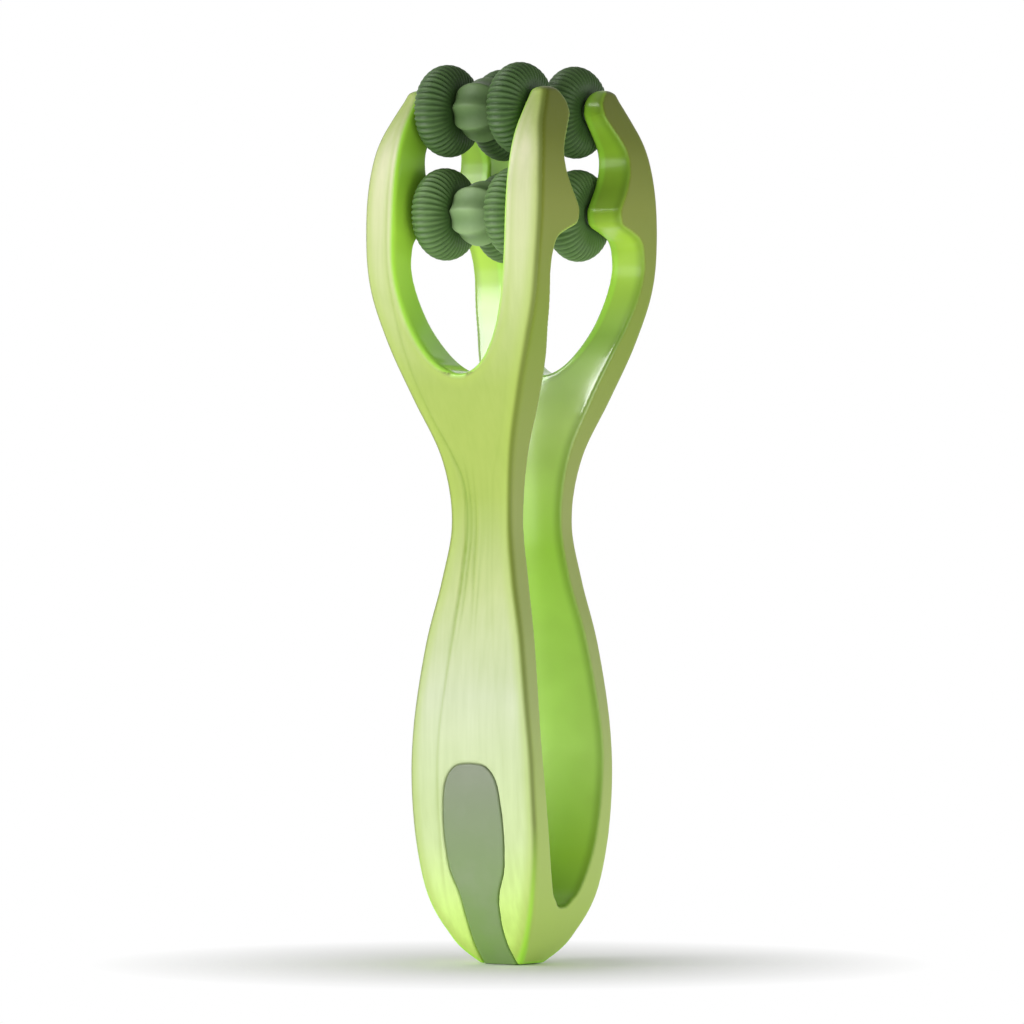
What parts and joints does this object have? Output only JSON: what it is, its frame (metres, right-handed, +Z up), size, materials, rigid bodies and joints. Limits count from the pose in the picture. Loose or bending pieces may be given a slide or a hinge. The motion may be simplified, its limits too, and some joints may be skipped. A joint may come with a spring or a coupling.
{
  "type": "squeeze massage roller",
  "caption": "Spring tong shaped like a celery stalk whose forked arms carry ribbed rings and lobed balls that roll along a finger, toe or foot squeezed between them.",
  "frame": {"origin": "bottom centre of the foot, on the surface it stands on", "axes": "+Z up along the stalk, +X along the roller axles, -Y towards the front arm and +Y towards the rear arm"},
  "size_m": [0.0408, 0.0418, 0.1706],
  "materials": {
    "tong": "glossy inside the slot, satin outside",
    "strip": "soft satin",
    "ring": "satin soft rubber",
    "ball": "satin soft rubber",
    "hub": "smooth moulded",
    "axle": "drawn bright steel"
  },
  "bodies": {
    "base": {"tong_base": "tong", "grip_strip": "strip"},
    "front_arm": {"front_arm": "tong", "front_upper_axle": "axle", "front_lower_axle": "axle"},
    "rear_arm": {"rear_arm": "tong", "rear_upper_axle": "axle", "rear_lower_axle": "axle"},
    "front_upper_left_roller": {"front_upper_left_ring": "ring", "front_upper_left_hub": "hub"},
    "front_upper_right_roller": {"front_upper_right_ring": "ring", "front_upper_right_hub": "hub"},
    "front_upper_ball_roller": {"front_upper_ball": "ball", "front_upper_ball_hub": "hub"},
    "front_lower_left_roller": {"front_lower_left_ring": "ring", "front_lower_left_hub": "hub"},
    "front_lower_right_roller": {"front_lower_right_ring": "ring", "front_lower_right_hub": "hub"},
    "front_lower_ball_roller": {"front_lower_ball": "ball", "front_lower_ball_hub": "hub"},
    "rear_upper_left_roller": {"rear_upper_left_ring": "ring", "rear_upper_left_hub": "hub"},
    "rear_upper_right_roller": {"rear_upper_right_ring": "ring", "rear_upper_right_hub": "hub"},
    "rear_upper_ball_roller": {"rear_upper_ball": "ball", "rear_upper_ball_hub": "hub"},
    "rear_lower_left_roller": {"rear_lower_left_ring": "ring", "rear_lower_left_hub": "hub"},
    "rear_lower_right_roller": {"rear_lower_right_ring": "ring", "rear_lower_right_hub": "hub"},
    "rear_lower_ball_roller": {"rear_lower_ball": "ball", "rear_lower_ball_hub": "hub"}
  },
  "joints": [
    {"name": "front_arm_squeeze", "type": "hinge", "parent": "base", "child": "front_arm", "pos_m": [0, -0.0142, 0.039], "axis": [1, 0, 0], "range_deg": [-0.1, 4.5], "stiffness_Nm_per_rad": 3},
    {"name": "rear_arm_squeeze", "type": "hinge", "parent": "base", "child": "rear_arm", "pos_m": [0, 0.0142, 0.039], "axis": [1, 0, 0], "range_deg": [-4.5, 0.1], "stiffness_Nm_per_rad": 3},
    {"name": "front_upper_left_spin", "type": "hinge", "parent": "front_arm", "child": "front_upper_left_roller", "pos_m": [0, -0.00905, 0.1618], "axis": [1, 0, 0], "continuous": true},
    {"name": "front_upper_ball_spin", "type": "hinge", "parent": "front_arm", "child": "front_upper_ball_roller", "pos_m": [0, -0.00905, 0.1618], "axis": [1, 0, 0], "continuous": true},
    {"name": "front_upper_right_spin", "type": "hinge", "parent": "front_arm", "child": "front_upper_right_roller", "pos_m": [0, -0.00905, 0.1618], "axis": [1, 0, 0], "continuous": true},
    {"name": "front_lower_left_spin", "type": "hinge", "parent": "front_arm", "child": "front_lower_left_roller", "pos_m": [0, -0.00997, 0.1422], "axis": [1, 0, 0], "continuous": true},
    {"name": "front_lower_ball_spin", "type": "hinge", "parent": "front_arm", "child": "front_lower_ball_roller", "pos_m": [0, -0.00997, 0.1422], "axis": [1, 0, 0], "continuous": true},
    {"name": "front_lower_right_spin", "type": "hinge", "parent": "front_arm", "child": "front_lower_right_roller", "pos_m": [0, -0.00997, 0.1422], "axis": [1, 0, 0], "continuous": true},
    {"name": "rear_upper_left_spin", "type": "hinge", "parent": "rear_arm", "child": "rear_upper_left_roller", "pos_m": [0, 0.00905, 0.1618], "axis": [1, 0, 0], "continuous": true},
    {"name": "rear_upper_ball_spin", "type": "hinge", "parent": "rear_arm", "child": "rear_upper_ball_roller", "pos_m": [0, 0.00905, 0.1618], "axis": [1, 0, 0], "continuous": true},
    {"name": "rear_upper_right_spin", "type": "hinge", "parent": "rear_arm", "child": "rear_upper_right_roller", "pos_m": [0, 0.00905, 0.1618], "axis": [1, 0, 0], "continuous": true},
    {"name": "rear_lower_left_spin", "type": "hinge", "parent": "rear_arm", "child": "rear_lower_left_roller", "pos_m": [0, 0.00997, 0.1422], "axis": [1, 0, 0], "continuous": true},
    {"name": "rear_lower_ball_spin", "type": "hinge", "parent": "rear_arm", "child": "rear_lower_ball_roller", "pos_m": [0, 0.00997, 0.1422], "axis": [1, 0, 0], "continuous": true},
    {"name": "rear_lower_right_spin", "type": "hinge", "parent": "rear_arm", "child": "rear_lower_right_roller", "pos_m": [0, 0.00997, 0.1422], "axis": [1, 0, 0], "continuous": true}
  ],
  "couplings": [
    {"joint": "rear_arm_squeeze", "follows": "front_arm_squeeze", "ratio": -1}
  ]
}
